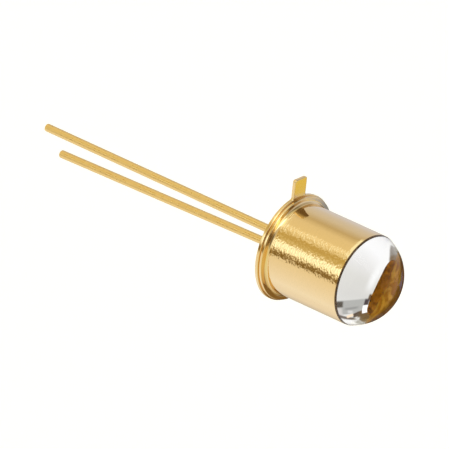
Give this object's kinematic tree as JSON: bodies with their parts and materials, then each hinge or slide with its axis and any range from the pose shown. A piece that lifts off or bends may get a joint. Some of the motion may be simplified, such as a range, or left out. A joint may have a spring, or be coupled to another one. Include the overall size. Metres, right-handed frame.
{
  "type": "infrared led",
  "caption": "Infrared emitter in a gold plated metal can with a clear glass dome lens, a flanged header with an index tab, and long round wire leads.",
  "frame": {"origin": "on the optical axis, in the seat plane under the header's flange", "axes": "+Z along the optical axis from the leads to the lens, +X from the axis to the isolated lead"},
  "size_m": [0.0057, 0.0057, 0.0219],
  "materials": {
    "gold_plate": "satin gold plating over an iron nickel alloy",
    "lens_glass": "clear, fire polished",
    "seal_glass": "dark greenish sealing glass",
    "solder": "matte silver filled die attach",
    "die": "polished semiconductor",
    "wire_gold": "bright gold wire"
  },
  "bodies": {
    "root": {"header": "gold_plate", "glass_seal": "seal_glass", "isolated_lead": "gold_plate", "case_lead": "gold_plate", "die_attach": "solder", "emitter_chip": "die", "bond_wire": "wire_gold", "cap": "gold_plate", "lens": "lens_glass"}
  },
  "joints": []
}
